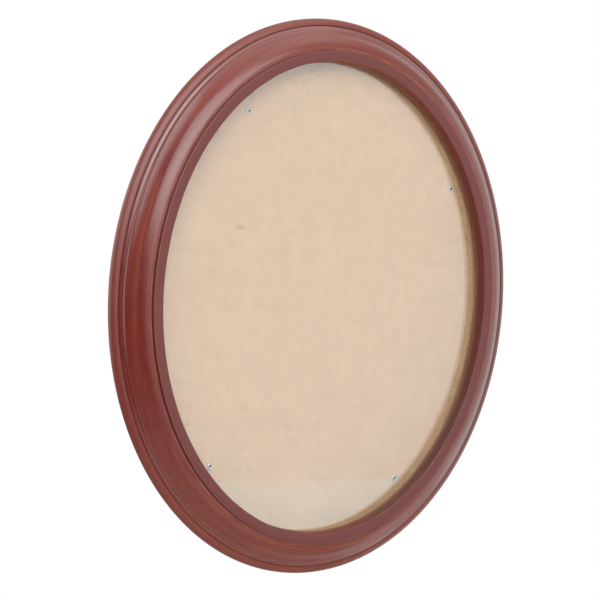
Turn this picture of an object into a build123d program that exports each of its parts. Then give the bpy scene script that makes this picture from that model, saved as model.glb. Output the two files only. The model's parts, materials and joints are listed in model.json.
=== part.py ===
"""Oval picture frame: a glued wooden moulding, its glass, its backing board and the hardware behind.

The frame is built lying face up on a bench: x across, y up the oval, z from the wall to the viewer.
It is then stood up, so that +Z is up, the front faces -Y, and the wall is the plane Y = 0.
The origin is the entry hole of the keyhole plate, on the wall.
"""
import os
from math import cos, hypot, pi, sin

from build123d import *

# The opening, for an 11 by 14 inch picture
sight_width = 266.7
sight_height = 342.9

# The moulding's section: across is measured outwards from the sight edge, height from the wall
moulding_width = 31.75
lip_height = 24.0
lip_width = 7.4
lip_wall = 12.0
lip_lean = 0.7
sight_round = 0.8
lip_round = 0.5
rabbet_width = 6.35
bead_drop = 2.2
bead_width = 9.1
bead_fall = 4.8
bead_crown_shares = (0.565, 0.265)
arris_inset = 9.15
arris_height = 10.4
riser_inset = 7.35
riser_height = 6.4
riser_belly_shares = (0.8, 0.4)
quirk_inset = 5.75
quirk_height = 5.7
ovolo_belly_shares = (0.68, 0.27)
edge_height = 0.6

# The finger joints between the four rails
joint_turn_share = 0.125
finger_count = 5
finger_length = 10.0

# What lies in the rabbet
glass_thickness = 2.0
glass_clearance = 0.9
picture_gap = 1.0
board_thickness = 3.0
board_clearance = 1.0

# Turn buttons and the rivets that they turn on
button_thickness = 1.0
button_reach = 23.0
button_tail = 5.5
button_tip = 4.0
button_edge = 0.2
button_play = 0.05
button_turn_shares = {
    "upper_right": 0.0884,
    "upper_left": 0.3481,
    "lower_left": 0.6372,
    "lower_right": 0.852,
}
button_inset_shares = {
    "upper_right": 0.329,
    "upper_left": 0.568,
    "lower_left": 0.347,
    "lower_right": 0.353,
}
kerf_play = 0.15
kerf_margin = 0.6
rivet_radius = 1.5
rivet_play = 0.05
rivet_head_radius = 3.2
rivet_head_height = 1.2
rivet_end_radius = 2.5
rivet_end_height = 0.8
rivet_bore_radius = 0.9
rivet_bore_depth = 2.6

# The keyhole plate, let into the back of the top rail
plate_length = 38.0
plate_height = 14.0
plate_thickness = 1.5
plate_corner = 2.0
plate_play = 0.1
plate_rise = 9.4
keyhole_radius = 3.6
keyhole_margin = 2.0
slot_width = 3.8
slot_rise = 4.0
relief_play = 0.5
relief_depth = 4.0

# The screws of the keyhole plate
screw_spacing = 28.0
screw_radius = 1.4
screw_head_radius = 2.7
screw_length = 11.0
screw_point = 2.5
screw_play = 0.02
recess_length = 2.8
recess_width = 0.7
recess_depth = 0.8

# How far every cutting shape runs past what it cuts
overrun = 2.0

half_width = sight_width / 2
half_height = sight_height / 2
keyhole_rise = plate_rise + keyhole_margin + keyhole_radius
stand_up = Location(Plane.XZ) * Location((0, -half_height - keyhole_rise, 0))

seat_height = lip_height - lip_wall
glass_back = seat_height - glass_thickness
board_front = glass_back - picture_gap
board_back = board_front - board_thickness
button_front = board_back - button_play
button_back = button_front - button_thickness


def oval_point(turn_share, offset):
    """A point that lies offset outside the sight edge, with the outward direction there."""
    turn = turn_share * 2 * pi
    across = half_height * cos(turn)
    along = half_width * sin(turn)
    out = Vector(across, along) / hypot(across, along)
    return Vector(half_width * cos(turn), half_height * sin(turn)) + out * offset, out


def between(start, end, shares):
    """The point at these shares of the way from start to end, across and along."""
    return tuple(a + (b - a) * share for a, b, share in zip(start, end, shares))


def moulding_section():
    """The moulding's section: lip, ogee bead, arris, quirk and ovolo, with wood to plane off behind."""
    sight_edge = (0, lip_height)
    lip_edge = (lip_width, lip_height)
    bead_root = (lip_width, lip_height - bead_drop)
    bead_foot = (lip_width + bead_width, lip_height - bead_drop - bead_fall)
    arris = (moulding_width - arris_inset, arris_height)
    riser_foot = (moulding_width - riser_inset, riser_height)
    quirk = (moulding_width - quirk_inset, quirk_height)
    edge = (moulding_width, edge_height)
    crown = ThreePointArc(bead_root, between(bead_root, bead_foot, bead_crown_shares), bead_foot)
    outline = [
        Polyline(sight_edge, lip_edge, bead_root),
        crown,
        TangentArc(bead_foot, arris, tangent=crown % 1),
        ThreePointArc(arris, between(arris, riser_foot, riser_belly_shares), riser_foot),
        Line(riser_foot, quirk),
        ThreePointArc(quirk, between(quirk, edge, ovolo_belly_shares), edge),
        Polyline(
            edge,
            (moulding_width, -overrun),
            (rabbet_width, -overrun),
            (rabbet_width, seat_height),
            (-lip_lean, seat_height),
            sight_edge,
        ),
    ]
    section = make_face(outline)
    for corner, radius in ((sight_edge, sight_round), (lip_edge, lip_round)):
        section = fillet(section.vertices().sort_by_distance(corner)[0], radius)
    return section


def keyhole_outline(hole_radius, neck_radius):
    """A round hole with a slot that runs up from it, in the plate's plane."""
    hole = Circle(hole_radius)
    slot = Pos(0, slot_rise / 2) * Rectangle(2 * neck_radius, slot_rise)
    return hole + slot + Pos(0, slot_rise) * Circle(neck_radius)


def plate_outline(play):
    """The keyhole plate's outline, seen from the entry hole."""
    middle = plate_height / 2 - keyhole_margin - keyhole_radius
    blank = RectangleRounded(plate_length + 2 * play, plate_height + 2 * play, plate_corner + play)
    return Pos(0, middle) * blank


def screw_places():
    """The two screws' places, seen from the entry hole."""
    middle = plate_height / 2 - keyhole_margin - keyhole_radius
    return {"left": (-screw_spacing / 2, middle), "right": (screw_spacing / 2, middle)}


def screw_body(play):
    """A countersunk wood screw, head towards the wall, larger by play all round."""
    head_depth = screw_head_radius - screw_radius
    profile = Polyline(
        (0, 0),
        (screw_head_radius + play, 0),
        (screw_radius + play, head_depth),
        (screw_radius + play, screw_length - screw_point),
        (0, screw_length + play),
        close=True,
    )
    return revolve(Plane.XZ * make_face(profile), axis=Axis.Z)


def hanger_seat():
    """The pocket for the keyhole plate, the room behind its slot, and the screws' pilot holes."""
    pocket = Pos(0, 0, -overrun) * extrude(plate_outline(plate_play), plate_thickness + overrun)
    room = keyhole_outline(keyhole_radius + relief_play, keyhole_radius + relief_play)
    seat = pocket + extrude(room, plate_thickness + relief_depth)
    for place in screw_places().values():
        seat += Pos(*place) * screw_body(screw_play)
    return Pos(0, half_height + keyhole_rise) * seat


def button_places():
    """Each turn button's pivot and the direction in which it points when it holds the board."""
    places = {}
    for name, turn_share in button_turn_shares.items():
        pivot, out = oval_point(turn_share, -button_inset_shares[name] * button_reach)
        places[name] = (pivot, out)
    return places


def moulding_ring():
    """The whole moulding, planed flat behind, with the buttons' kerfs and the hanger's pocket cut in."""
    path = Edge.make_ellipse(half_width, half_height)
    section_plane = Plane(origin=(half_width, 0, 0), x_dir=(1, 0, 0), z_dir=(0, -1, 0))
    ring = split(sweep(section_plane * moulding_section(), path=path), bisect_by=Plane.XY)
    kerf_width = button_thickness + 2 * kerf_play
    kerf_middle = (button_front + button_back) / 2
    for pivot, _ in button_places().values():
        kerf = Cylinder(button_reach + kerf_margin, kerf_width)
        ring -= Pos(pivot.X, pivot.Y, kerf_middle) * kerf
    return ring - hanger_seat()


def rail_space(middle_share):
    """The space of one rail: a quarter of the oval with interlocking fingers at both ends."""
    inside = -2 * moulding_width
    outside = 2 * moulding_width
    finger_height = lip_height / finger_count
    space = None
    for layer in range(finger_count):
        shift = finger_length / 2 if layer % 2 else -finger_length / 2
        ends = []
        for end_share in (middle_share - joint_turn_share, middle_share + joint_turn_share):
            _, out = oval_point(end_share, 0)
            along = Vector(-out.Y, out.X) * shift
            ends.append([oval_point(end_share, offset)[0] + along for offset in (inside, outside)])
        bulge = oval_point(middle_share, outside)[0]
        outline = Polyline(ends[0][0], ends[0][1], bulge, ends[1][1], ends[1][0], close=True)
        low = layer * finger_height - (overrun if layer == 0 else 0)
        high = (layer + 1) * finger_height + (overrun if layer == finger_count - 1 else 0)
        slab = Pos(0, 0, low) * extrude(make_face(outline), high - low)
        space = slab if space is None else space + slab
    return space


def make_rails():
    """The four rails of the moulding, cut from the ring at the finger joints."""
    ring = moulding_ring()
    middles = {"rail_right": 0, "rail_top": 2, "rail_left": 4, "rail_bottom": 6}
    return {name: ring & rail_space(step * joint_turn_share) for name, step in middles.items()}


def make_pane(clearance, back, thickness):
    """An oval sheet that drops into the rabbet."""
    margin = rabbet_width - clearance
    return Pos(0, 0, back) * extrude(Ellipse(half_width + margin, half_height + margin), thickness)


def make_board():
    """The backing board with its rivet holes."""
    board = make_pane(board_clearance, board_back, board_thickness)
    for pivot, _ in button_places().values():
        hole = Cylinder(rivet_radius, board_thickness + 2 * overrun)
        board -= Pos(pivot.X, pivot.Y, board_back + board_thickness / 2) * hole
    return board


def make_button():
    """One turn button: a tapered steel plate with its pivot hole at the origin, pointing along x."""
    tip = Pos(button_reach - button_tip, 0) * Circle(button_tip)
    plate = extrude(make_hull(Circle(button_tail).edges() + tip.edges()), button_thickness)
    plate = chamfer(plate.edges(), button_edge)
    return plate - Cylinder(rivet_radius + rivet_play, 2 * button_thickness + overrun)


def make_rivet():
    """One tubular rivet: domed head on the wall side, end rolled over on the front of the board."""
    head_seat = button_back - button_play
    rolled_top = board_front + rivet_end_height
    bore_floor = rolled_top - rivet_bore_depth
    roll_middle = (rivet_end_radius + rivet_bore_radius) / 2
    dome = ThreePointArc(
        (0, head_seat - rivet_head_height),
        (rivet_head_radius * cos(pi / 4), head_seat - rivet_head_height * sin(pi / 4)),
        (rivet_head_radius, head_seat),
    )
    body = Polyline(
        (rivet_head_radius, head_seat),
        (rivet_radius, head_seat),
        (rivet_radius, board_front),
        (rivet_end_radius, board_front),
    )
    roll = ThreePointArc(
        (rivet_end_radius, board_front),
        (roll_middle, rolled_top),
        (rivet_bore_radius, board_front),
    )
    bore = Polyline(
        (rivet_bore_radius, board_front),
        (rivet_bore_radius, bore_floor),
        (0, bore_floor),
        (0, head_seat - rivet_head_height),
    )
    return revolve(Plane.XZ * make_face([dome, body, roll, bore]), axis=Axis.Z)


def make_plate():
    """The keyhole plate, flush with the back of the moulding."""
    plate = extrude(plate_outline(0) - keyhole_outline(keyhole_radius, slot_width / 2), plate_thickness)
    for place in screw_places().values():
        plate -= Pos(*place) * screw_body(screw_play)
    return Pos(0, half_height + keyhole_rise) * plate


def make_screw(place):
    """One countersunk screw with a cross recess in its head."""
    screw = screw_body(0)
    bar = Rectangle(recess_length, recess_width)
    screw -= extrude(bar + Rot(0, 0, 90) * bar, recess_depth)
    return Pos(place[0], place[1] + half_height + keyhole_rise) * screw


def make_nodes():
    """Every sub-part by its name, on the bench."""
    nodes = make_rails()
    nodes["glass_pane"] = make_pane(glass_clearance, glass_back, glass_thickness)
    nodes["backing_board"] = make_board()
    for name, (pivot, out) in button_places().items():
        turned = Location(Plane(origin=(pivot.X, pivot.Y, button_back), x_dir=out, z_dir=(0, 0, 1)))
        nodes["turn_button_" + name] = turned * make_button()
        nodes["rivet_" + name] = Pos(pivot.X, pivot.Y) * make_rivet()
    nodes["hanger_plate"] = make_plate()
    for side, place in screw_places().items():
        nodes["hanger_screw_" + side] = make_screw(place)
    return nodes


os.makedirs("parts", exist_ok=True)
for node_name, node in make_nodes().items():
    export_step(stand_up * node, "parts/" + node_name + ".step")
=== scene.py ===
import json
import math

import bpy
from mathutils import Matrix, Vector


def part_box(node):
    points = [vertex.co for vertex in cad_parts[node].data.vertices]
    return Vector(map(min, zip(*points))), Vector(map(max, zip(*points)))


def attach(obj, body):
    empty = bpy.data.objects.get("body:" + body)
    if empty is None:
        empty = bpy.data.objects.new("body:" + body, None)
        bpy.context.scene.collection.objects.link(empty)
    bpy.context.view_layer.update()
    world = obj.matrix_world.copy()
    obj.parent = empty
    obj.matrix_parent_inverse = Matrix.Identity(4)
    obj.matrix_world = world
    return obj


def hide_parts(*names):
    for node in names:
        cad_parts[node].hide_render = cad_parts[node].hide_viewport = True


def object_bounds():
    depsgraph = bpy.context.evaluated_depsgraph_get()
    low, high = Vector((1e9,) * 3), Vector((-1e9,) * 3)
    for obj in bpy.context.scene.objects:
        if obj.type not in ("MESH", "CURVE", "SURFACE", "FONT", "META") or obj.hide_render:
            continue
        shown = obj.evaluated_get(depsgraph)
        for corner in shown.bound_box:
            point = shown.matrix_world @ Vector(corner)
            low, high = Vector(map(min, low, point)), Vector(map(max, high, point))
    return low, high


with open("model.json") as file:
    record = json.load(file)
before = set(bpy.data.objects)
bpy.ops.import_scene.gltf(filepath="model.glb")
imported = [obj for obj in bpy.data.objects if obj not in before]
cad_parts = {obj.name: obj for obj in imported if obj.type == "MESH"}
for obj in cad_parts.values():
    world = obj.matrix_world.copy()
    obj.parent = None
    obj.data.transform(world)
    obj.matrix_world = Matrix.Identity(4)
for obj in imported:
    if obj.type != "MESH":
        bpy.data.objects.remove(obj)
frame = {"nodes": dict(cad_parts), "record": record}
cad_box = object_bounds()

# The moulding: an oval ring of red-stained hardwood under satin lacquer, glued up from four rails.
# One section runs all round: a flat lip, a step down to an ogee bead, a riser, a fillet, a quirk groove
# and an ovolo down to the wall. The back and the rabbet stay bare wood.
MM = 0.001
HALF_WIDTH = 133.35 * MM
HALF_HEIGHT = 171.45 * MM
MOULDING_WIDTH = 31.75 * MM
LIP_HEIGHT = 24.0 * MM
LIP_WIDTH = 7.4 * MM
LIP_LEAN = 0.7 * MM
SEAT_HEIGHT = 12.0 * MM
RABBET_WIDTH = 6.35 * MM
BEAD_ROOT = (7.4 * MM, 21.8 * MM)
BEAD_CROWN = (13.2 * MM, 20.3 * MM)
BEAD_FOOT = (17.7 * MM, 16.0 * MM)
OGEE_DIP = (20.2 * MM, 12.75 * MM)
ARRIS = (22.6 * MM, 10.4 * MM)
RISER_BELLY = (23.55 * MM, 9.15 * MM)
RISER_FOOT = (23.95 * MM, 7.25 * MM)
FILLET_EDGE = (25.8 * MM, 6.15 * MM)
QUIRK_FLOOR = (26.2 * MM, 5.45 * MM)
OVOLO_ROOT = (26.6 * MM, 5.75 * MM)
OVOLO_BELLY = (29.91 * MM, 4.32 * MM)
EDGE_HEIGHT = 0.6 * MM
SIGHT_ROUND = 0.8 * MM
LIP_ROUND = 0.5 * MM
ARRIS_ROUND = 0.3 * MM
CLOSE = 0.01 * MM
MERGE = 0.001 * MM
ARC_STEPS = 14
PATH_STEPS = 64
CORNER_STEPS = 5
MOULDING_CREASE = math.radians(32)
glass_low, glass_high = (Vector(corner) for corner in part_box("glass_pane"))
oval_middle = (glass_low + glass_high) / 2
OVAL_RISE = oval_middle.z


def arc_through(start, belly, end):
    """Points along the circle through three points, without the last one."""
    (ax, ay), (bx, by), (cx, cy) = start, belly, end
    twice = 2 * (ax * (by - cy) + bx * (cy - ay) + cx * (ay - by))
    a2, b2, c2 = ax * ax + ay * ay, bx * bx + by * by, cx * cx + cy * cy
    middle = Vector((
        (a2 * (by - cy) + b2 * (cy - ay) + c2 * (ay - by)) / twice,
        (a2 * (cx - bx) + b2 * (ax - cx) + c2 * (bx - ax)) / twice,
    ))
    first = Vector(start) - middle
    turn = first.angle_signed(Vector(end) - middle)
    return [
        middle + Matrix.Rotation(-turn * step / ARC_STEPS, 2) @ first
        for step in range(ARC_STEPS)
    ]


def only(piece):
    """Selects one object alone and makes it the active one."""
    bpy.ops.object.select_all(action="DESELECT")
    piece.select_set(True)
    bpy.context.view_layer.objects.active = piece


def soften_corners(piece, corners, radius):
    """Rounds the outline's corners that lie at these places."""
    only(piece)
    bpy.ops.object.mode_set(mode="EDIT")
    bpy.ops.mesh.select_mode(type="VERT")
    bpy.ops.mesh.select_all(action="DESELECT")
    bpy.ops.object.mode_set(mode="OBJECT")
    for vertex in piece.data.vertices:
        vertex.select = any((vertex.co.xy - Vector(c)).length < CLOSE for c in corners)
    bpy.ops.object.mode_set(mode="EDIT")
    bpy.ops.mesh.bevel(affect="VERTICES", offset=radius, segments=CORNER_STEPS)
    bpy.ops.object.mode_set(mode="OBJECT")


def cut(piece, cutter):
    """Takes the cutter's shape out of the piece, and removes the cutter."""
    only(piece)
    boolean = piece.modifiers.new("cut", "BOOLEAN")
    boolean.object = cutter
    boolean.solver = "EXACT"
    bpy.ops.object.modifier_apply(modifier=boolean.name)
    bpy.data.objects.remove(cutter)


lip_edge = (LIP_WIDTH, LIP_HEIGHT)
sight_edge = (0, LIP_HEIGHT)
outer_edge = (MOULDING_WIDTH, EDGE_HEIGHT)
outer_back = (MOULDING_WIDTH, 0)
inner_back = (RABBET_WIDTH, 0)
seat_corner = (RABBET_WIDTH, SEAT_HEIGHT)
seat_edge = (-LIP_LEAN, SEAT_HEIGHT)
outline = [sight_edge, lip_edge]
outline += arc_through(BEAD_ROOT, BEAD_CROWN, BEAD_FOOT)
outline += arc_through(BEAD_FOOT, OGEE_DIP, ARRIS)
outline += arc_through(ARRIS, RISER_BELLY, RISER_FOOT)
outline += [RISER_FOOT, FILLET_EDGE, QUIRK_FLOOR]
outline += arc_through(OVOLO_ROOT, OVOLO_BELLY, outer_edge)
outline += [outer_edge, outer_back, inner_back, seat_corner, seat_edge]

bpy.ops.object.select_all(action="DESELECT")
bpy.ops.mesh.primitive_circle_add(vertices=len(outline), fill_type="NOTHING")
section = bpy.context.object
for vertex, place in zip(section.data.vertices, outline):
    vertex.co = (*place, 0)
soften_corners(section, [sight_edge], SIGHT_ROUND)
soften_corners(section, [lip_edge], LIP_ROUND)
soften_corners(section, [ARRIS, outer_edge, seat_edge, inner_back], ARRIS_ROUND)
only(section)
section.scale.x = -1
bpy.ops.object.transform_apply(scale=True)
bpy.ops.object.convert(target="CURVE")
section = bpy.context.object

bpy.ops.object.select_all(action="DESELECT")
bpy.ops.curve.primitive_bezier_circle_add(radius=1)
moulding = bpy.context.object
moulding.name = "moulding"
moulding.scale = (HALF_WIDTH, HALF_HEIGHT, 1)
bpy.ops.object.transform_apply(scale=True)
for point in moulding.data.splines[0].bezier_points:
    point.radius = 1
moulding.data.dimensions = "3D"
moulding.data.twist_mode = "Z_UP"
moulding.data.resolution_u = PATH_STEPS
moulding.data.bevel_mode = "OBJECT"
moulding.data.bevel_object = section
bpy.ops.object.convert(target="MESH")
moulding = bpy.context.object
bpy.data.objects.remove(section)
moulding.rotation_euler.x = math.pi / 2
moulding.location.z = OVAL_RISE
bpy.ops.object.transform_apply(location=True, rotation=True)
bpy.ops.object.mode_set(mode="EDIT")
bpy.ops.mesh.select_all(action="SELECT")
bpy.ops.mesh.remove_doubles(threshold=MERGE)
bpy.ops.mesh.normals_make_consistent(inside=False)
bpy.ops.object.mode_set(mode="OBJECT")
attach(moulding, "frame")
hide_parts("rail_top", "rail_right", "rail_bottom", "rail_left")

# Cuts in the back of the ring, in bare wood: a thin saw kerf beside each rivet, which the turn button's
# tip enters, and a shallow pocket at the top for the keyhole plate, with room under it for a screw head.
PLATE_THICKNESS = 1.5 * MM
PLATE_CORNER = 2.0 * MM
PLATE_PLAY = 0.1 * MM
KEYHOLE_RADIUS = 3.6 * MM
SLOT_WIDTH = 3.8 * MM
SLOT_RISE = 4.0 * MM
ROOM_RADIUS = 4.1 * MM
ROOM_DEPTH = 5.5 * MM
ROOM_START = 1.0 * MM
KERF_RADIUS = 23.6 * MM
KERF_WIDTH = 1.3 * MM
OVERRUN = 1.0 * MM
ROUND_STEPS = 96
PLATE_CORNER_STEPS = 6
plate_low, plate_high = (Vector(corner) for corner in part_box("hanger_plate"))
pivots = {
    joint["child"]: Vector(joint["pos_m"])
    for joint in frame["record"]["behaviour"]["joints"]
}


def round_bar(name, radius, front, back, place):
    """A round bar along Y between two depths, with its axis through the place."""
    bpy.ops.object.select_all(action="DESELECT")
    bpy.ops.mesh.primitive_cylinder_add(
        vertices=ROUND_STEPS,
        radius=radius,
        depth=back - front,
        location=(place.x, (front + back) / 2, place.z),
        rotation=(math.pi / 2, 0, 0),
    )
    bar = bpy.context.object
    bar.name = name
    bpy.ops.object.transform_apply(location=True, rotation=True, scale=True)
    return bar


def block(name, low, high):
    """A square block between two corners."""
    bpy.ops.object.select_all(action="DESELECT")
    bpy.ops.mesh.primitive_cube_add(size=1, location=(Vector(low) + Vector(high)) / 2)
    made = bpy.context.object
    made.name = name
    made.scale = Vector(high) - Vector(low)
    bpy.ops.object.transform_apply(location=True, rotation=True, scale=True)
    return made


def round_edges(piece, radius, steps, wanted):
    """Bevels the edges for which wanted, given the edge's two ends, is true."""
    only(piece)
    bpy.ops.object.mode_set(mode="EDIT")
    bpy.ops.mesh.select_mode(type="EDGE")
    bpy.ops.mesh.select_all(action="DESELECT")
    bpy.ops.object.mode_set(mode="OBJECT")
    for edge in piece.data.edges:
        edge.select = wanted(*(piece.data.vertices[index].co for index in edge.vertices))
    bpy.ops.object.mode_set(mode="EDIT")
    bpy.ops.mesh.bevel(offset=radius, segments=steps, affect="EDGES")
    bpy.ops.object.mode_set(mode="OBJECT")


def along_y(start, end):
    """True for an edge that runs from front to back."""
    return (end - start).xz.length < CLOSE


def plate_blank(name, play, front, back):
    """The keyhole plate's outline as a block with rounded corners."""
    grow = Vector((play, 0, play))
    low = Vector((plate_low.x, front, plate_low.z)) - grow
    high = Vector((plate_high.x, back, plate_high.z)) + grow
    blank = block(name, low, high)
    round_edges(blank, PLATE_CORNER + play, PLATE_CORNER_STEPS, along_y)
    return blank


keyhole = Vector((0, 0, 0))
slot_top = keyhole + Vector((0, 0, SLOT_RISE))
kerf_half = KERF_WIDTH / 2
for pivot in pivots.values():
    cut(moulding, round_bar("kerf", KERF_RADIUS, pivot.y - kerf_half, pivot.y + kerf_half, pivot))
cut(moulding, plate_blank("pocket", PLATE_PLAY, -PLATE_THICKNESS, OVERRUN))
for room_middle in (keyhole, slot_top):
    cut(moulding, round_bar("room", ROOM_RADIUS, -ROOM_DEPTH, -ROOM_START, room_middle))
only(moulding)
bpy.ops.object.shade_smooth_by_angle(angle=MOULDING_CREASE)

# The finish of the moulding: red-brown stain under lacquer outside, and raw wood with glue lines behind.
# Places on the section are measured outwards from the sight edge, and heights from the wall.
NOISE_ROUGHNESS = 0.6
WHITE = (1, 1, 1, 1)


class Paint:
    """A socket in a finish: sums on it add Math nodes, and node() adds any other kind."""

    def __init__(self, tree, socket=None):
        self.tree = tree
        self.socket = socket

    def node(self, kind, settings=None, inputs=None, output=0):
        made = self.tree.nodes.new("ShaderNode" + kind)
        for name, value in (settings or {}).items():
            setattr(made, name, value)
        for name, value in (inputs or {}).items():
            if isinstance(value, Paint):
                self.tree.links.new(value.socket, made.inputs[name])
            else:
                made.inputs[name].default_value = value
        return Paint(self.tree, made.outputs[output])

    def maths(self, operation, *others):
        return self.node("Math", {"operation": operation}, dict(enumerate((self, *others))))

    def __add__(self, other):
        return self.maths("ADD", other)

    def __mul__(self, other):
        return self.maths("MULTIPLY", other)

    def __sub__(self, other):
        return self.maths("SUBTRACT", other)

    def __rsub__(self, other):
        return self.node("Math", {"operation": "SUBTRACT"}, {0: other, 1: self})

    def __truediv__(self, other):
        return self.maths("DIVIDE", other)

    def __lt__(self, other):
        return self.maths("LESS_THAN", other)

    def __gt__(self, other):
        return self.maths("GREATER_THAN", other)

    __radd__ = __add__
    __rmul__ = __mul__

    def ramp(self, low, high):
        """0 below low, 1 above high, and a smooth rise between."""
        settings = {"interpolation_type": "SMOOTHSTEP"}
        return self.node("MapRange", settings, {"Value": self, "From Min": low, "From Max": high})

    def near(self, middle, reach):
        """1 at the middle, falling smoothly to 0 at this reach on either side."""
        return 1 - (self - middle).maths("ABSOLUTE").ramp(0, reach)

    def blend(self, first, second):
        """The first colour where this is 0, and the second where it is 1."""
        return self.node("Mix", {"data_type": "RGBA"}, {0: self, 6: first, 7: second}, 2)

    def axes(self):
        """The three numbers of a vector."""
        parts = self.node("SeparateXYZ", inputs={0: self}).socket.node
        return [Paint(self.tree, socket) for socket in parts.outputs]

    def stretched(self, scale, detail):
        """Noise over this vector, with its own scale along each axis."""
        place = self.node("VectorMath", {"operation": "MULTIPLY"}, {0: self, 1: scale})
        values = {"Vector": place, "Scale": 1, "Detail": detail, "Roughness": NOISE_ROUGHNESS}
        return self.node("TexNoise", inputs=values)


def finish(name):
    """A new finish: its material, a start for its nodes, and its shader."""
    material = bpy.data.materials.new(name)
    material.use_nodes = True
    return material, Paint(material.node_tree), material.node_tree.nodes["Principled BSDF"]


def dress(shader, **values):
    """Sets the shader's sockets, whose names are written with _ for a space."""
    for name, value in values.items():
        socket = shader.inputs[name.replace("_", " ")]
        if isinstance(value, Paint):
            value.tree.links.new(value.socket, socket)
        else:
            socket.default_value = value


def colour(red, green, blue):
    """A shader colour from the 0 to 255 values of a screen, by the sRGB curve."""
    channels = (channel / 255 for channel in (red, green, blue))
    return (*(c / 12.92 if c <= 0.04045 else ((c + 0.055) / 1.055) ** 2.4 for c in channels), 1)


TURN_ROUNDS = 4
LAY_RADIUS = 170.0 * MM


def oval_turn(x, z):
    """The turn and the offset of a point from the sight edge, both found by stepping towards it."""
    turn, offset = math.atan2(z / HALF_HEIGHT, x / HALF_WIDTH), 0
    for _ in range(TURN_ROUNDS):
        out = Vector((HALF_HEIGHT * math.cos(turn), HALF_WIDTH * math.sin(turn))).normalized()
        edge = Vector((HALF_WIDTH * math.cos(turn), HALF_HEIGHT * math.sin(turn)))
        offset = (Vector((x, z)) - edge).dot(out)
        turn = math.atan2((z - offset * out.y) / HALF_HEIGHT, (x - offset * out.x) / HALF_WIDTH)
    return turn, offset


lay = []
for vertex in moulding.data.vertices:
    turn, offset = oval_turn(vertex.co.x, vertex.co.z - OVAL_RISE)
    lay += [LAY_RADIUS * math.cos(turn), LAY_RADIUS * math.sin(turn), offset]
moulding.data.attributes.new("lay", "FLOAT_VECTOR", "POINT").data.foreach_set("vector", lay)

STAIN_RED = colour(97, 27, 16)
STAIN_DEEP = colour(90, 21, 12)
STAIN_WORN = colour(122, 50, 24)
# An amber tone for the top and the foot of the ring; at the foot it is also painted light from below.
AMBER_AND_BOUNCE_TONE = colour(126, 58, 30)
# A pale tone for rubbed edges; it is also painted highlight along the lip and bead edges and painted light
# on the wall at the top.
RUBBED_AND_HIGHLIGHT_TONE = colour(165, 92, 58)
# A dark glaze tone, used also as painted shade in the grooves and on the lower right of the wall.
GLAZE_AND_SHADE_DARK = colour(46, 10, 7)
WOOD_PALE = colour(205, 172, 130)
WOOD_DARK = colour(168, 128, 88)
GLUE_LINE = colour(120, 84, 54)
STREAK_SCALE = (55, 55, 1100)
CLOUD_SCALE = (22, 22, 22)
PORE_SCALE = (240, 240, 5200)
RING_SCALE = (9, 260, 260)

# Strips of the section, each by its middle and its reach to either side.
LIP_LINE = (7.0 * MM, 0.6 * MM)
STEP_LINE = (7.9 * MM, 0.6 * MM)
BEAD_LINE = (8.8 * MM, 0.5 * MM)
BEAD_FLANK = (9.5 * MM, 2.6 * MM)
BEAD_CREST = (11.0 * MM, 2.0 * MM)
OGEE_HOLLOW = (18.6 * MM, 3.0 * MM)
RISER_LINE = (24.1 * MM, 2.3 * MM)
QUIRK_LINE = (26.4 * MM, 0.7 * MM)
OVOLO_CREST = (29.0 * MM, 2.6 * MM)

# Places where one finish passes into the next, each by its start and its end.
WALL_END = (0.2 * MM, 0.9 * MM)
LIP_END = (7.2 * MM, 7.6 * MM)
RIM_START = (25.5 * MM, 27.0 * MM)
SPRAY_END = (28.5 * MM, 31.5 * MM)
THIN_EDGE_END = (13.0 * MM, 17.0 * MM)
TOP_START = (OVAL_RISE + 95 * MM, OVAL_RISE + 190 * MM)
FOOT_END = (OVAL_RISE - 190 * MM, OVAL_RISE - 80 * MM)
LOW_WALL_SIDE = (0, 80 * MM)
LOW_WALL_END = (OVAL_RISE - 110 * MM, OVAL_RISE + 120 * MM)
LEFT_END = (-156 * MM, -136 * MM)
STEP_HEIGHT = 23.2 * MM
SPRAY_DRIFT = 6.0 * MM
BACK_HEIGHT = 0.12 * MM
RAW_RABBET = (6.42 * MM, 12.04 * MM)
RAW_POCKET = (24.0 * MM, 6.25 * MM)
GLUE_WIDTH = 0.35 * MM

# How strongly each is stained, glazed, rubbed or coated, and how strong the painted shade and painted light
# are.
HOLLOW_WEAR = 0.5
CREST_WEAR = 0.4
TOP_AMBER = 0.25
# At the foot the amber is partly painted light from below.
FOOT_AMBER_AND_BOUNCE = 0.55
# The next two set how dark the painted shade in the step and quirk grooves is.
STEP_SHADE = 0.55
QUIRK_SHADE = 0.5
LIP_GLAZE = 0.28
WALL_GLAZE = 0.25
# How dark the painted shade on the lower right of the wall is.
LOW_WALL_SHADE = 0.65
# How pale the bead edge is, partly rubbed and partly painted highlight.
BEAD_RUB_AND_HIGHLIGHT = 0.7
# How strong the painted light on the wall at the top is.
TOP_WALL_PAINTED_LIGHT = 0.3
# How pale the lip edge is, partly rubbed and partly painted highlight.
LIP_RUB_AND_HIGHLIGHT = 0.14
THIN_EDGE = 0.18
RISER_COAT = 0.8
LEFT_COAT_LOSS = 0.5
BEAD_COAT = 0.25
SATIN_ROUGH = 0.28
RAW_ROUGH = 0.4
LIP_ROUGH = 0.22
RIM_ROUGH = 0.14
STREAK_ROUGH = 0.08
COAT_ROUGH = 0.16
STAIN_SHEEN = 0.57
PORE_STRENGTH = 0.05
PORE_DEPTH = 0.1 * MM


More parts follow.
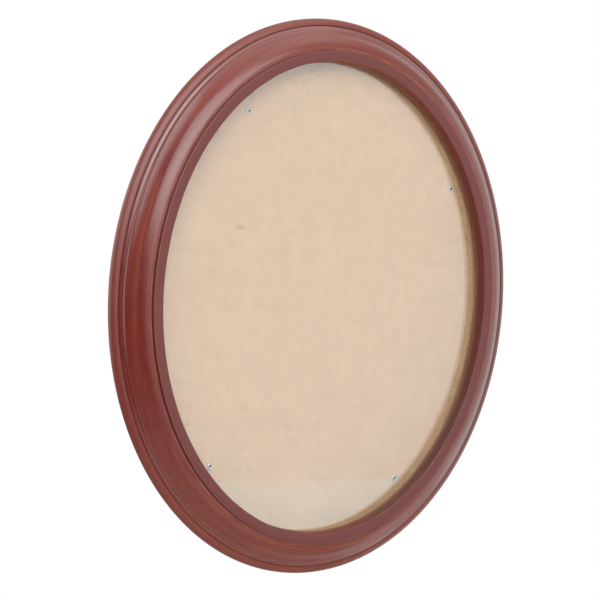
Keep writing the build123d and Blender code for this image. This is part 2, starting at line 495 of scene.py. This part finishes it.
def moulding_finish():
    """Red-brown stain, thinner on the broad curves, over bare wood, with painted shade in each groove and
    on the lower right wall, and painted light along some edges and the top of the wall.
    """
    material, start, shader = finish("stained_moulding")
    lay = start.node("Attribute", {"attribute_name": "lay"}, output="Vector")
    place = start.node("TexCoord", output="Object")
    x, y, z = place.axes()
    across = lay.axes()[2]
    height = 0 - y
    streak = lay.stretched(STREAK_SCALE, 5)
    cloud = place.stretched(CLOUD_SCALE, 3)
    pores = lay.stretched(PORE_SCALE, 2)
    top = z.ramp(*TOP_START)
    foot = 1 - z.ramp(*FOOT_END)
    wall = 1 - across.ramp(*WALL_END)
    lip = 1 - across.ramp(*LIP_END)
    rim = across.ramp(*RIM_START)
    below_lip = height < STEP_HEIGHT

    stain = streak.ramp(0.3, 0.72).blend(STAIN_DEEP, STAIN_RED)
    crests = across.near(*BEAD_CREST) * CREST_WEAR + across.near(*OVOLO_CREST) * CREST_WEAR
    worn = (across.near(*OGEE_HOLLOW) + crests) * cloud.ramp(0.25, 0.75) * HOLLOW_WEAR
    stain = worn.blend(stain, STAIN_WORN)
    # Amber towards the top and the foot; at the foot it is also painted light from below.
    amber_and_bounce = (top * TOP_AMBER + foot * FOOT_AMBER_AND_BOUNCE) * (0.5 + streak.ramp(0.3, 0.7) * 0.5) * (1 - lip)
    stain = amber_and_bounce.blend(stain, AMBER_AND_BOUNCE_TONE)
    # Painted shade in the step and quirk grooves, left out at the foot of the ring.
    groove_shade = across.near(*STEP_LINE) * below_lip * STEP_SHADE + across.near(*QUIRK_LINE) * QUIRK_SHADE
    stain = (groove_shade * (1 - foot)).blend(stain, GLAZE_AND_SHADE_DARK)
    # Glaze on the lip, less on the wall, and painted shade on the lower right of the wall.
    shaded_low_wall = wall * x.ramp(*LOW_WALL_SIDE) * (1 - z.ramp(*LOW_WALL_END))
    lip_glaze_and_shade = lip * LIP_GLAZE - wall * WALL_GLAZE + shaded_low_wall * LOW_WALL_SHADE
    stain = lip_glaze_and_shade.blend(stain, GLAZE_AND_SHADE_DARK)
    # Paler lines along the bead edge and the lip edge, partly rubbed and partly painted highlight.
    rubbed = across.near(*BEAD_LINE) * below_lip * BEAD_RUB_AND_HIGHLIGHT * streak.ramp(0.35, 0.65)
    # Painted light on the wall at the top, standing in for light bounced up from the board.
    rubbed = rubbed + wall * top * TOP_WALL_PAINTED_LIGHT + across.near(*LIP_LINE) * (height > STEP_HEIGHT) * LIP_RUB_AND_HIGHLIGHT
    stain = rubbed.blend(stain, RUBBED_AND_HIGHLIGHT_TONE)

    rails = (z - OVAL_RISE).maths("ABSOLUTE") * HALF_WIDTH - x.maths("ABSOLUTE") * HALF_HEIGHT
    level = rails > 0
    along = level * x + (1 - level) * z
    athwart = level * z + (1 - level) * x
    fibres = start.node("CombineXYZ", inputs={0: along, 1: athwart, 2: height})
    rings = fibres.stretched(RING_SCALE, 4)
    bare = rings.ramp(0.3, 0.75).blend(WOOD_PALE, WOOD_DARK)
    bare = (rails / (HALF_WIDTH + HALF_HEIGHT)).near(0, GLUE_WIDTH).blend(bare, GLUE_LINE)
    spray = across + (cloud - 0.5) * SPRAY_DRIFT
    flat_back = (height < BACK_HEIGHT) * (1 - spray.ramp(*SPRAY_END))
    rabbet = (across < RAW_RABBET[0]) * (height < RAW_RABBET[1])
    pocket = (across < RAW_POCKET[0]) * (height < RAW_POCKET[1])
    raw = flat_back.maths("MAXIMUM", rabbet).maths("MAXIMUM", pocket)

    thin_edge = wall * (1 - height.ramp(*THIN_EDGE_END)) * THIN_EDGE
    far_left = 1 - x.ramp(*LEFT_END)
    lacquer = across.near(*RISER_LINE) * (RISER_COAT - far_left * LEFT_COAT_LOSS)
    lacquer = lacquer + across.near(*BEAD_FLANK) * BEAD_COAT
    gloss = SATIN_ROUGH + raw * RAW_ROUGH + lip * LIP_ROUGH + rim * RIM_ROUGH
    bump = {"Strength": PORE_STRENGTH, "Distance": PORE_DEPTH, "Height": pores}
    dress(
        shader,
        Base_Color=raw.maths("MAXIMUM", thin_edge).blend(stain, bare),
        Roughness=gloss + (streak - 0.5) * STREAK_ROUGH,
        Specular_IOR_Level=STAIN_SHEEN,
        Coat_Weight=lacquer * (1 - raw),
        Coat_Roughness=COAT_ROUGH,
        Normal=start.node("Bump", inputs=bump),
    )
    return material


moulding.data.materials.clear()
moulding.data.materials.append(moulding_finish())

# The glass: a flat clear pane of float glass, cut to the oval.
# It lies loose in the rabbet against the back of the lip, and the board holds it there.
GLASS_TINT = (0.975, 0.985, 0.98, 1)
GLASS_INDEX = 1.5


def glass_finish():
    """Clear float glass: it mirrors by its angle and lets all other light through."""
    material, start, shader = finish("clear_glass")
    clear = start.node("BsdfTransparent", inputs={"Color": GLASS_TINT})
    mirror = start.node("BsdfGlossy", inputs={"Color": WHITE, "Roughness": 0})
    inside = start.node("NewGeometry", output="Backfacing")
    index = inside * (1 / GLASS_INDEX) + (1 - inside) * GLASS_INDEX
    angle = start.node("Fresnel", inputs={"IOR": index})
    both = start.node("MixShader", inputs={0: angle, 1: clear, 2: mirror})
    output = material.node_tree.nodes["Material Output"]
    material.node_tree.links.new(both.socket, output.inputs["Surface"])
    material.node_tree.nodes.remove(shader)
    return material


def assign(node, material):
    """Gives a CAD node this finish all over."""
    mesh = frame["nodes"][node].data
    mesh.materials.clear()
    mesh.materials.append(material)


assign("glass_pane", glass_finish())

# The backing board: 3 mm of tan hardboard, pressed from fine wood fibre and bare on both sides.
# It lies in the rabbet behind the glass, and the turn buttons riveted to it hold it in.
BOARD_TAN = colour(177, 144, 111)
BOARD_LIGHT = colour(182, 149, 117)
BOARD_DARK = colour(138, 97, 60)
BOARD_FIBRE = colour(124, 86, 52)
MOTTLE_SCALE = (70, 70, 100)
PATCH_SCALE = (170, 170, 120)
FLECK_SCALE = (360, 360, 240)
FIBRE_SCALE = (1500, 1500, 2600)
PATCH_SHARE = 0.13
FLECK_SHARE = 0.5
FIBRE_SHARE = 0.04
BOARD_ROUGH = 0.72
FIBRE_ROUGH = 0.2
BOARD_SHEEN = 0.3
SPLINTER_SIDE = -69.0 * MM
SPLINTER_RISE = 46.8 * MM
SPLINTER_LENGTH = 5.8 * MM
SPLINTER_WIDTH = 2.4 * MM
board_low, board_high = (Vector(corner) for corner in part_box("backing_board"))
board_middle = (board_low.y + board_high.y) / 2


def board_finish():
    """Pressed fibre: a soft mottle, with small dark flecks and one dark splinter on the front."""
    material, start, shader = finish("hardboard")
    place = start.node("TexCoord", output="Object")
    x, y, z = place.axes()
    mottle = place.stretched(MOTTLE_SCALE, 2)
    patch = place.stretched(PATCH_SCALE, 3)
    fleck = place.stretched(FLECK_SCALE, 2)
    fibre = place.stretched(FIBRE_SCALE, 3)
    tone = mottle.ramp(0.3, 0.7).blend(BOARD_TAN, BOARD_LIGHT)
    tone = (patch.ramp(0.35, 0.65) * PATCH_SHARE).blend(tone, BOARD_DARK)
    tone = (fibre.ramp(0.5, 0.75) * FIBRE_SHARE).blend(tone, BOARD_DARK)
    tone = (fleck.ramp(0.57, 0.7) * FLECK_SHARE).blend(tone, BOARD_DARK)
    splinter = x.near(SPLINTER_SIDE, SPLINTER_LENGTH) * z.near(OVAL_RISE + SPLINTER_RISE, SPLINTER_WIDTH)
    tone = (splinter * (y < board_middle)).blend(tone, BOARD_FIBRE)
    dress(
        shader,
        Base_Color=tone,
        Roughness=BOARD_ROUGH + (fibre - 0.5) * FIBRE_ROUGH,
        Specular_IOR_Level=BOARD_SHEEN,
    )
    return material


assign("backing_board", board_finish())

# The rivets: four tubular rivets of zinc-plated steel, each through the board and a turn button.
# The dome lies behind the button, and the end is rolled over on the front of the board.
RIVET_RADIUS = 1.5 * MM
RIVET_HEAD_RADIUS = 3.2 * MM
RIVET_HEAD_HEIGHT = 1.2 * MM
RIVET_ROLL_RADIUS = 2.5 * MM
RIVET_ROLL_HEIGHT = 0.75 * MM
RIVET_BORE_RADIUS = 0.9 * MM
RIVET_BORE_DEPTH = 2.6 * MM
RIVET_GAP = 0.05 * MM
BORE_MARGIN = 0.1 * MM
DOME_STEPS = 8
ROLL_STEPS = 12
SPIN_STEPS = 48
SPIN_MERGE = 0.002 * MM
TURNED_CREASE = math.radians(40)
METAL_CLOUD_SCALE = (420, 420, 420)
RUB_SCALE = (300, 300, 5000)
CLOUD_ROUGH = 0.18
RUB_ROUGH = 0.14
RUB_STRENGTH = 0.08
RUB_DEPTH = 0.05 * MM
ZINC_ROUGH = 0.3
RIVET_GREY = colour(172, 171, 168)
RIVET_DULL = colour(136, 135, 132)
# Painted shade inside a rivet's bore.
BORE_SHADE = colour(24, 24, 26)
ZINC = colour(196, 198, 196)
ZINC_DULL = colour(174, 176, 174)


def turned(name, outline, place):
    """A turned piece: an outline of radius and depth along Y, spun once round the place."""
    bpy.ops.object.select_all(action="DESELECT")
    bpy.ops.mesh.primitive_circle_add(vertices=len(outline), fill_type="NOTHING")
    piece = bpy.context.object
    piece.name = name
    for vertex, (radius, depth) in zip(piece.data.vertices, outline):
        vertex.co = (place.x + radius, depth, place.z)
    bpy.ops.object.mode_set(mode="EDIT")
    bpy.ops.mesh.select_mode(type="EDGE")
    bpy.ops.mesh.select_all(action="DESELECT")
    bpy.ops.object.mode_set(mode="OBJECT")
    ends = {0, len(outline) - 1}
    for edge in piece.data.edges:
        edge.select = set(edge.vertices) == ends
    bpy.ops.object.mode_set(mode="EDIT")
    bpy.ops.mesh.delete(type="EDGE")
    bpy.ops.mesh.select_all(action="SELECT")
    bpy.ops.mesh.spin(steps=SPIN_STEPS, angle=2 * math.pi, center=place, axis=(0, 1, 0))
    bpy.ops.mesh.select_all(action="SELECT")
    bpy.ops.mesh.remove_doubles(threshold=SPIN_MERGE)
    bpy.ops.mesh.normals_make_consistent(inside=False)
    bpy.ops.object.mode_set(mode="OBJECT")
    bpy.ops.object.shade_smooth_by_angle(angle=TURNED_CREASE)
    return piece


def metal_finish(name, bright, dull, rough):
    """Plated steel: bright zinc with dull clouds and fine rubbed lines, and painted shade where points are
    marked as bore.
    """
    material, start, shader = finish(name)
    place = start.node("TexCoord", output="Object")
    cloud = place.stretched(METAL_CLOUD_SCALE, 4)
    rub = place.stretched(RUB_SCALE, 2)
    bore = start.node("Attribute", {"attribute_name": "bore"}, output="Fac")
    bump = {"Strength": RUB_STRENGTH, "Distance": RUB_DEPTH, "Height": rub}
    dress(
        shader,
        Base_Color=bore.blend(cloud.ramp(0.35, 0.7).blend(bright, dull), BORE_SHADE),
        Metallic=1.0,
        Roughness=rough + cloud * CLOUD_ROUGH + (rub - 0.5) * RUB_ROUGH,
        Normal=start.node("Bump", inputs=bump),
    )
    return material


def rivet_outline(head_seat):
    """The rivet from the middle of its dome to the foot of its bore, as radius and depth."""
    quarter = [math.pi / 2 * step / DOME_STEPS for step in range(DOME_STEPS + 1)]
    half = [math.pi * step / ROLL_STEPS for step in range(ROLL_STEPS + 1)]
    roll_middle = (RIVET_ROLL_RADIUS + RIVET_BORE_RADIUS) / 2
    roll_half = (RIVET_ROLL_RADIUS - RIVET_BORE_RADIUS) / 2
    front = board_low.y
    dome = [
        (RIVET_HEAD_RADIUS * math.sin(angle), head_seat + RIVET_HEAD_HEIGHT * math.cos(angle))
        for angle in quarter
    ]
    roll = [
        (roll_middle + roll_half * math.cos(angle), front - RIVET_ROLL_HEIGHT * math.sin(angle))
        for angle in half
    ]
    shank = [(RIVET_RADIUS, head_seat), (RIVET_RADIUS, front)]
    floor = front - RIVET_ROLL_HEIGHT + RIVET_BORE_DEPTH
    return dome + shank + roll + [(RIVET_BORE_RADIUS, floor), (0, floor)]


rivet_metal = metal_finish("rivet_zinc", RIVET_GREY, RIVET_DULL, ZINC_ROUGH)
for name, pivot in pivots.items():
    button_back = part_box(name)[1][1]
    rivet_node = name.replace("turn_button", "rivet")
    rivet = turned(rivet_node + "_turned", rivet_outline(button_back + RIVET_GAP), pivot)
    # Marks the points inside the bore, which get painted shade.
    bore_end = board_low.y + RIVET_BORE_DEPTH
    bore_side = RIVET_BORE_RADIUS + BORE_MARGIN
    bores = [
        float((vertex.co - pivot).xz.length < bore_side and vertex.co.y < bore_end)
        for vertex in rivet.data.vertices
    ]
    rivet.data.attributes.new("bore", "FLOAT", "POINT").data.foreach_set("value", bores)
    rivet.data.materials.append(rivet_metal)
    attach(rivet, "frame")
    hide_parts(rivet_node)

# The turn buttons: four tapered plates, stamped from zinc-plated steel strip.
# Each turns on its rivet at the back of the board, and its tip swings into its kerf.
BUTTON_REACH = 23.0 * MM
BUTTON_TAIL = 5.5 * MM
BUTTON_TIP = 4.0 * MM
BUTTON_EDGE = 0.22 * MM
BUTTON_HOLE = 1.55 * MM
BUTTON_STEPS = 72
BUTTON_EDGE_STEPS = 3
FLAT_ANGLE = math.radians(1)
STEEL_CREASE = math.radians(30)


def across_y(start, end):
    """True for an edge that stays at one depth."""
    return abs(start.y - end.y) < CLOSE


def turn_button(name, pivot):
    """One button: the hull of two round ends, thickened, with softened edges and a rivet hole."""
    low, high = (Vector(corner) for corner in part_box(name))
    turn, _ = oval_turn(pivot.x, pivot.z - OVAL_RISE)
    out = Vector((HALF_HEIGHT * math.cos(turn), 0, HALF_WIDTH * math.sin(turn))).normalized()
    bpy.ops.object.select_all(action="DESELECT")
    bpy.ops.mesh.primitive_circle_add(
        vertices=BUTTON_STEPS,
        radius=BUTTON_TAIL,
        location=(pivot.x, low.y, pivot.z),
        rotation=(math.pi / 2, 0, 0),
    )
    button = bpy.context.object
    button.name = name + "_stamped"
    bpy.ops.object.transform_apply(location=True, rotation=True)
    tip = pivot + out * (BUTTON_REACH - BUTTON_TIP)
    bpy.ops.object.mode_set(mode="EDIT")
    bpy.ops.mesh.primitive_circle_add(
        vertices=BUTTON_STEPS,
        radius=BUTTON_TIP,
        location=(tip.x, low.y, tip.z),
        rotation=(math.pi / 2, 0, 0),
    )
    bpy.ops.mesh.select_all(action="SELECT")
    bpy.ops.mesh.convex_hull()
    bpy.ops.mesh.dissolve_limited(angle_limit=FLAT_ANGLE)
    bpy.ops.mesh.select_all(action="SELECT")
    bpy.ops.mesh.extrude_region_move(TRANSFORM_OT_translate={"value": (0, high.y - low.y, 0)})
    bpy.ops.mesh.select_all(action="SELECT")
    bpy.ops.mesh.normals_make_consistent(inside=False)
    bpy.ops.object.mode_set(mode="OBJECT")
    round_edges(button, BUTTON_EDGE, BUTTON_EDGE_STEPS, across_y)
    cut(button, round_bar("hole", BUTTON_HOLE, low.y - OVERRUN, high.y + OVERRUN, pivot))
    bpy.ops.object.shade_smooth_by_angle(angle=STEEL_CREASE)
    return button


button_metal = metal_finish("button_zinc", ZINC, ZINC_DULL, ZINC_ROUGH)
for name, pivot in pivots.items():
    button = turn_button(name, pivot)
    button.data.materials.append(button_metal)
    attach(button, name)
    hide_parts(name)

# The keyhole plate: zinc-plated steel, let in flush at the top of the back.
# Two countersunk wood screws, yellow zinc-plated with a cross recess, hold it to the top rail.
SCREW_RADIUS = 1.4 * MM
SCREW_HEAD_RADIUS = 2.7 * MM
SCREW_LENGTH = 11.0 * MM
SCREW_POINT = 2.5 * MM
RECESS_LENGTH = 2.8 * MM
RECESS_WIDTH = 0.7 * MM
RECESS_DEPTH = 0.8 * MM
SINK_PLAY = 0.03 * MM
SCREW_CREASE = math.radians(35)
PLATE_ROUGH = 0.32
SCREW_ROUGH = 0.25
BRASS_ZINC = colour(206, 186, 132)
BRASS_DULL = colour(168, 148, 100)
screw_nodes = ("hanger_screw_left", "hanger_screw_right")


def screw_outline(play):
    """A countersunk wood screw as radius and depth, its head at the wall."""
    return [
        (0, 0),
        (SCREW_HEAD_RADIUS + play, 0),
        (SCREW_RADIUS + play, -(SCREW_HEAD_RADIUS - SCREW_RADIUS)),
        (SCREW_RADIUS + play, -(SCREW_LENGTH - SCREW_POINT)),
        (0, -SCREW_LENGTH),
    ]


def middle_of(node):
    """The middle of a CAD node's box."""
    low, high = (Vector(corner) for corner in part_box(node))
    return (low + high) / 2


plate = plate_blank("keyhole_plate", 0, -PLATE_THICKNESS, 0)
cut(plate, round_bar("entry", KEYHOLE_RADIUS, -2 * PLATE_THICKNESS, OVERRUN, keyhole))
cut(plate, round_bar("slot", SLOT_WIDTH / 2, -2 * PLATE_THICKNESS, OVERRUN, slot_top))
slot_half = Vector((SLOT_WIDTH / 2, 0, 0))
slot_depth = Vector((0, 2 * PLATE_THICKNESS, 0))
cut(plate, block("slot", keyhole - slot_half - slot_depth, slot_top + slot_half + slot_depth))
for node in screw_nodes:
    cut(plate, turned("sink", screw_outline(SINK_PLAY), middle_of(node)))
only(plate)
bpy.ops.object.shade_smooth_by_angle(angle=STEEL_CREASE)
plate.data.materials.clear()
plate.data.materials.append(metal_finish("plate_zinc", ZINC, ZINC_DULL, PLATE_ROUGH))
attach(plate, "frame")
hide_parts("hanger_plate")

screw_metal = metal_finish("screw_yellow_zinc", BRASS_ZINC, BRASS_DULL, SCREW_ROUGH)
for node in screw_nodes:
    middle = middle_of(node)
    screw = turned(node + "_turned", screw_outline(0), middle)
    for long, wide in ((RECESS_LENGTH, RECESS_WIDTH), (RECESS_WIDTH, RECESS_LENGTH)):
        reach = Vector((long / 2, 0, wide / 2))
        head = Vector((middle.x, 0, middle.z))
        depth = Vector((0, RECESS_DEPTH, 0))
        cut(screw, block("recess", head - reach - depth, head + reach + depth))
    only(screw)
    bpy.ops.object.shade_smooth_by_angle(angle=SCREW_CREASE)
    screw.data.materials.clear()
    screw.data.materials.append(screw_metal)
    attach(screw, "frame")
    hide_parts(node)

# The camera: it stands to the left of the frame, almost level with its middle, with a long lens.
# PAN slides it sideways and in height, and ROLL tilts the picture, as in the photo.
AZIMUTH = math.radians(29.16)
ELEVATION = math.radians(1.213)
ROLL = math.radians(3.845)
DISTANCE = 1.7
PAN = (-21.87 * MM, -1.06 * MM)
LENS = 140.93
SENSOR = 36

back = Vector((
    -math.sin(AZIMUTH) * math.cos(ELEVATION),
    -math.cos(AZIMUTH) * math.cos(ELEVATION),
    math.sin(ELEVATION),
))
level = Vector((math.cos(AZIMUTH), -math.sin(AZIMUTH), 0))
upright = back.cross(level)
right = math.cos(ROLL) * level + math.sin(ROLL) * upright
up = math.cos(ROLL) * upright - math.sin(ROLL) * level
target = Vector((0, -LIP_HEIGHT, OVAL_RISE))
eye = target + PAN[0] * right + PAN[1] * up + DISTANCE * back
camera = bpy.data.objects.new("camera", bpy.data.cameras.new("camera"))
camera.data.lens = LENS
camera.data.sensor_width = SENSOR
camera.matrix_world = Matrix.Translation(eye) @ Matrix((right, up, back)).transposed().to_4x4()
bpy.context.scene.collection.objects.link(camera)
bpy.context.scene.camera = camera

# Studio light: a softbox at the right, whose mirror image veils the glass, a wide one with a bright core at
# the upper left, which lights the crests, and cards all round. In mirrors the left side stays unlit.
# A pale floor lies well below the frame. Mirrored in the lacquer it is a little darker and redder.
FLOOR_DROP = 1.2
FLOOR_SIZE = 7.0
FLOOR_COLOUR = colour(236, 234, 230)
FLOOR_MIRRORED = colour(230, 202, 204)
UNLIT_SIDE = (-0.92, -0.39, 0)
VEIL_TONE = (0.73, 0.75, 0.79, 1)
VEIL_FOOT = (0.68, 0.92, 1, 1)
VEIL_STEP = (0.164, 0.178)
LAMP_GAIN = 4
FILL = 0.22
UNLIT_SPREAD = (0.6, 0.85)
FLOOR_FADE = (1.3, 2.6)
FLOOR_ROUGH = 0.8

# Each lamp by its name, azimuth, elevation, distance, width, height, radiance and roll.
LAMPS = (
    ("front_softbox", -29, 33, 2.4, 3.3, 2.0, 3.3, -10),
    ("front_core", -27, 24, 2.35, 1.5, 0.76, 1.5, -10),
    ("top_card", 20, 78, 1.9, 1.8, 1.5, 0.8, 0),
    ("left_back_card", -120, 8, 2.0, 2.2, 1.7, 1.5, 0),
    ("right_back_card", 76, 2, 2.0, 2.0, 1.9, 0.6, 0),
    ("under_card", 74, -32, 1.6, 1.2, 0.8, 0.7, 0),
    ("low_right_card", 104, -36, 1.6, 1.2, 0.8, 0.3, 0),
    ("low_front_card", -5, -48, 1.8, 1.6, 1.0, 0.5, 0),
    ("back_card", 200, 22, 2.2, 1.5, 1.1, 1.0, 0),
)


def softbox(name, azimuth, elevation, distance, width, height, radiance, roll):
    """A rectangular lamp that faces the frame's middle from this side and looks this bright."""
    lamp = bpy.data.lights.new(name, "AREA")
    lamp.shape = "RECTANGLE"
    lamp.size = width
    lamp.size_y = height
    lamp.energy = LAMP_GAIN * radiance * width * height
    swing = math.radians(azimuth)
    rise = math.radians(elevation)
    side = Vector((
        math.sin(swing) * math.cos(rise),
        -math.cos(swing) * math.cos(rise),
        math.sin(rise),
    ))
    turn = (-side).to_track_quat("-Z", "Y").to_matrix() @ Matrix.Rotation(math.radians(roll), 3, "Z")
    box = bpy.data.objects.new(name, lamp)
    box.matrix_world = Matrix.Translation(target + distance * side) @ turn.to_4x4()
    bpy.context.scene.collection.objects.link(box)
    return lamp


veil = softbox("right_softbox", 29.5, -1.2, 2.1, 0.66, 0.9, 2.1, 4.5)
veil.use_nodes = True
cloth = Paint(veil.node_tree)
rise = cloth.node("NewGeometry", output="Parametric").axes()[1]
cloth_tone = rise.ramp(*VEIL_STEP).blend(VEIL_FOOT, VEIL_TONE)
veil.node_tree.links.new(cloth_tone.socket, veil.node_tree.nodes["Emission"].inputs["Color"])
for lamp_row in LAMPS:
    softbox(*lamp_row)

world = bpy.data.worlds.new("white_studio")
bpy.context.scene.world = world
world.use_nodes = True
studio = Paint(world.node_tree)
path = studio.node("LightPath").socket.node
camera_ray, glossy_ray, through_ray = (
    Paint(world.node_tree, path.outputs[name])
    for name in ("Is Camera Ray", "Is Glossy Ray", "Is Transmission Ray")
)
look = studio.node("TexCoord", output="Generated")
unlit = look.node("VectorMath", {"operation": "DOT_PRODUCT"}, {0: look, 1: UNLIT_SIDE}, "Value")
mirrored = glossy_ray * (1 - unlit.ramp(*UNLIT_SPREAD))
seen = camera_ray.maths("MAXIMUM", mirrored).maths("MAXIMUM", through_ray)
backdrop = world.node_tree.nodes["Background"]
backdrop.inputs["Color"].default_value = WHITE
world.node_tree.links.new((FILL + seen * (1 - FILL)).socket, backdrop.inputs["Strength"])

bpy.ops.object.select_all(action="DESELECT")
bpy.ops.mesh.primitive_plane_add(size=FLOOR_SIZE, location=(0, 0, cad_box[0][2] - FLOOR_DROP))
floor = bpy.context.object
floor.name = "floor"
bpy.ops.object.transform_apply(location=True)
floor_material, floor_start, floor_shader = finish("pale_floor")
floor_path = floor_start.node("LightPath").socket.node
floor_seen = Paint(floor_material.node_tree, floor_path.outputs["Is Camera Ray"])
floor_mirrored = Paint(floor_material.node_tree, floor_path.outputs["Is Glossy Ray"])
floor_tone = floor_mirrored.blend(FLOOR_COLOUR, FLOOR_MIRRORED)
dress(floor_shader, Base_Color=floor_tone, Roughness=FLOOR_ROUGH)
floor_place = floor_start.node("TexCoord", output="Object")
floor_reach = floor_place.node("VectorMath", {"operation": "LENGTH"}, {0: floor_place}, "Value")
floor_far = floor_seen * floor_reach.ramp(*FLOOR_FADE)
white = floor_start.node("Emission", inputs={"Color": WHITE, "Strength": 1})
lit = Paint(floor_material.node_tree, floor_shader.outputs["BSDF"])
floor_both = floor_start.node("MixShader", inputs={0: floor_far, 1: lit, 2: white})
floor_end = floor_material.node_tree.nodes["Material Output"]
floor_material.node_tree.links.new(floor_both.socket, floor_end.inputs["Surface"])
floor.data.materials.append(floor_material)

bpy.context.scene.view_settings.view_transform = "Standard"
